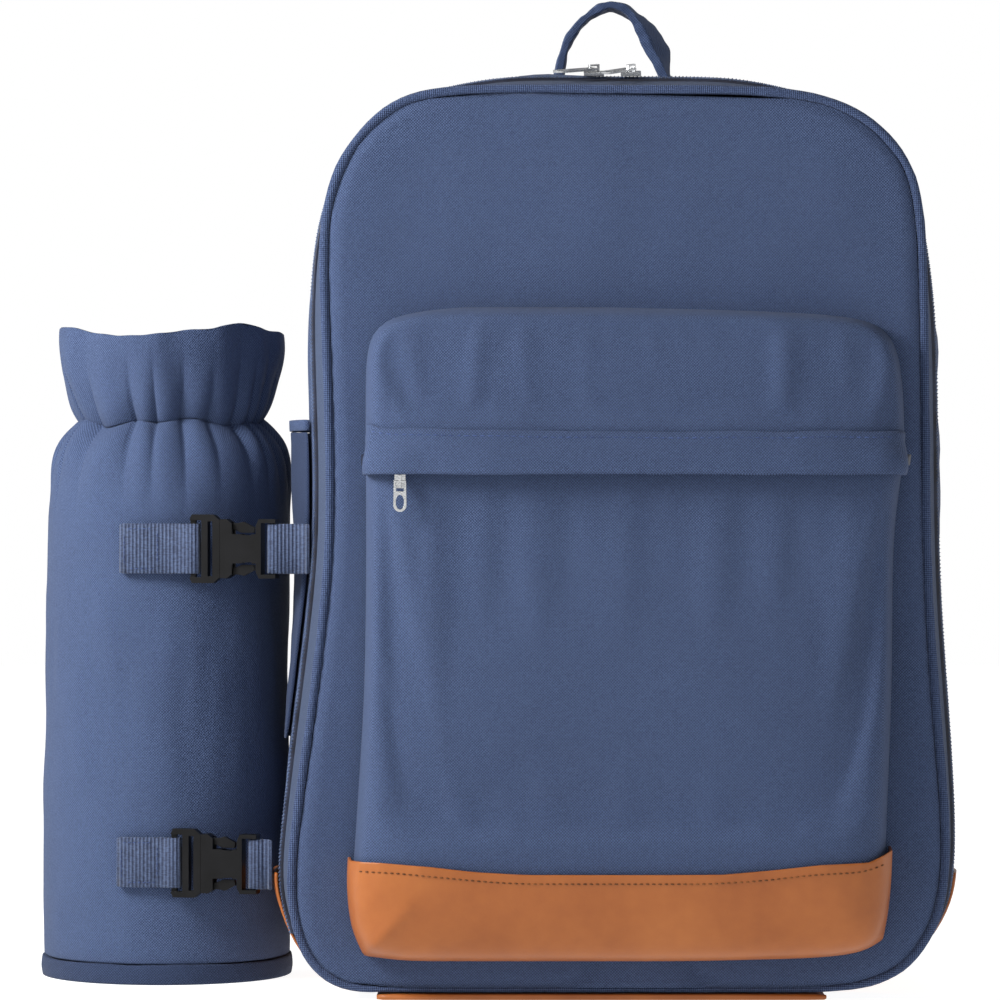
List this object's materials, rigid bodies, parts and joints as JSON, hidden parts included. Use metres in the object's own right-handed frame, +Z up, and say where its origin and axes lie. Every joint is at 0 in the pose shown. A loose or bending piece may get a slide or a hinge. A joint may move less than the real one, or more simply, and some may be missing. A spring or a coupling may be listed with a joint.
{
  "type": "cooler backpack",
  "caption": "Insulated picnic backpack with a padded body, piped front, zipped pocket with leather trim and a bottle holder buckled to its side.",
  "frame": {"origin": "on the flat underside of the base, midway across the pack and about mid depth", "axes": "+Z up, -Y towards the front pocket, +X to the right as seen from the front; the bottle holder is on the -X side"},
  "size_m": [0.4205, 0.2179, 0.4511],
  "materials": {
    "blue_weave": "matte woven polyester",
    "deep_blue_weave": "ribbed webbing and back fabric",
    "piping_weave": "diagonal woven binding",
    "zip_tape": "matte woven tape",
    "navy_weave": "matte woven polyester",
    "tan_leather": "smooth, low gloss",
    "dark_coil": "satin coil",
    "black_plastic": "matte moulded",
    "nickel": "polished nickel"
  },
  "bodies": {
    "pack": {"rear_gusset": "blue_weave", "front_panel": "blue_weave", "pocket_shell": "blue_weave", "pocket_flap": "blue_weave", "holder_wall": "blue_weave", "holder_collar": "blue_weave", "side_pocket_hem": "blue_weave", "anchor_tab_left": "blue_weave", "anchor_tab_right": "blue_weave", "back_panel": "deep_blue_weave", "upper_strap_loop": "deep_blue_weave", "upper_strap_tail": "deep_blue_weave", "lower_strap_loop": "deep_blue_weave", "lower_strap_tail": "deep_blue_weave", "grab_handle": "deep_blue_weave", "shoulder_pad_left": "deep_blue_weave", "shoulder_pad_right": "deep_blue_weave", "lower_web_left": "deep_blue_weave", "lower_web_right": "deep_blue_weave", "holder_base": "deep_blue_weave", "front_piping": "piping_weave", "back_piping": "piping_weave", "front_zip_tape": "zip_tape", "side_pocket": "navy_weave", "holder_binding": "navy_weave", "base_panel": "tan_leather", "pocket_trim": "tan_leather", "zip_chain": "dark_coil", "pocket_zip": "dark_coil", "upper_buckle_male": "black_plastic", "upper_buckle_female": "black_plastic", "lower_buckle_male": "black_plastic", "lower_buckle_female": "black_plastic", "ladder_lock_left": "black_plastic", "ladder_lock_right": "black_plastic", "top_slider_left": "nickel", "top_slider_right": "nickel", "pocket_slider": "nickel"},
    "top_pull_left": {"top_puller_left": "nickel"},
    "top_pull_right": {"top_puller_right": "nickel"},
    "pocket_pull": {"pocket_puller": "nickel"}
  },
  "joints": [
    {"name": "top_pull_left_hinge", "type": "hinge", "parent": "pack", "child": "top_pull_left", "pos_m": [-0.0117, -0.0436, 0.41281], "axis": [-0.581, 0.7977, 0.1617], "range_deg": [0, 150]},
    {"name": "top_pull_right_hinge", "type": "hinge", "parent": "pack", "child": "top_pull_right", "pos_m": [0.0048, -0.0436, 0.41281], "axis": [-0.8134, 0.5701, 0.1156], "range_deg": [0, 150]},
    {"name": "pocket_pull_hinge", "type": "hinge", "parent": "pack", "child": "pocket_pull", "pos_m": [-0.097, -0.10941, 0.228], "axis": [-1, 0, 0], "range_deg": [0, 90]}
  ]
}
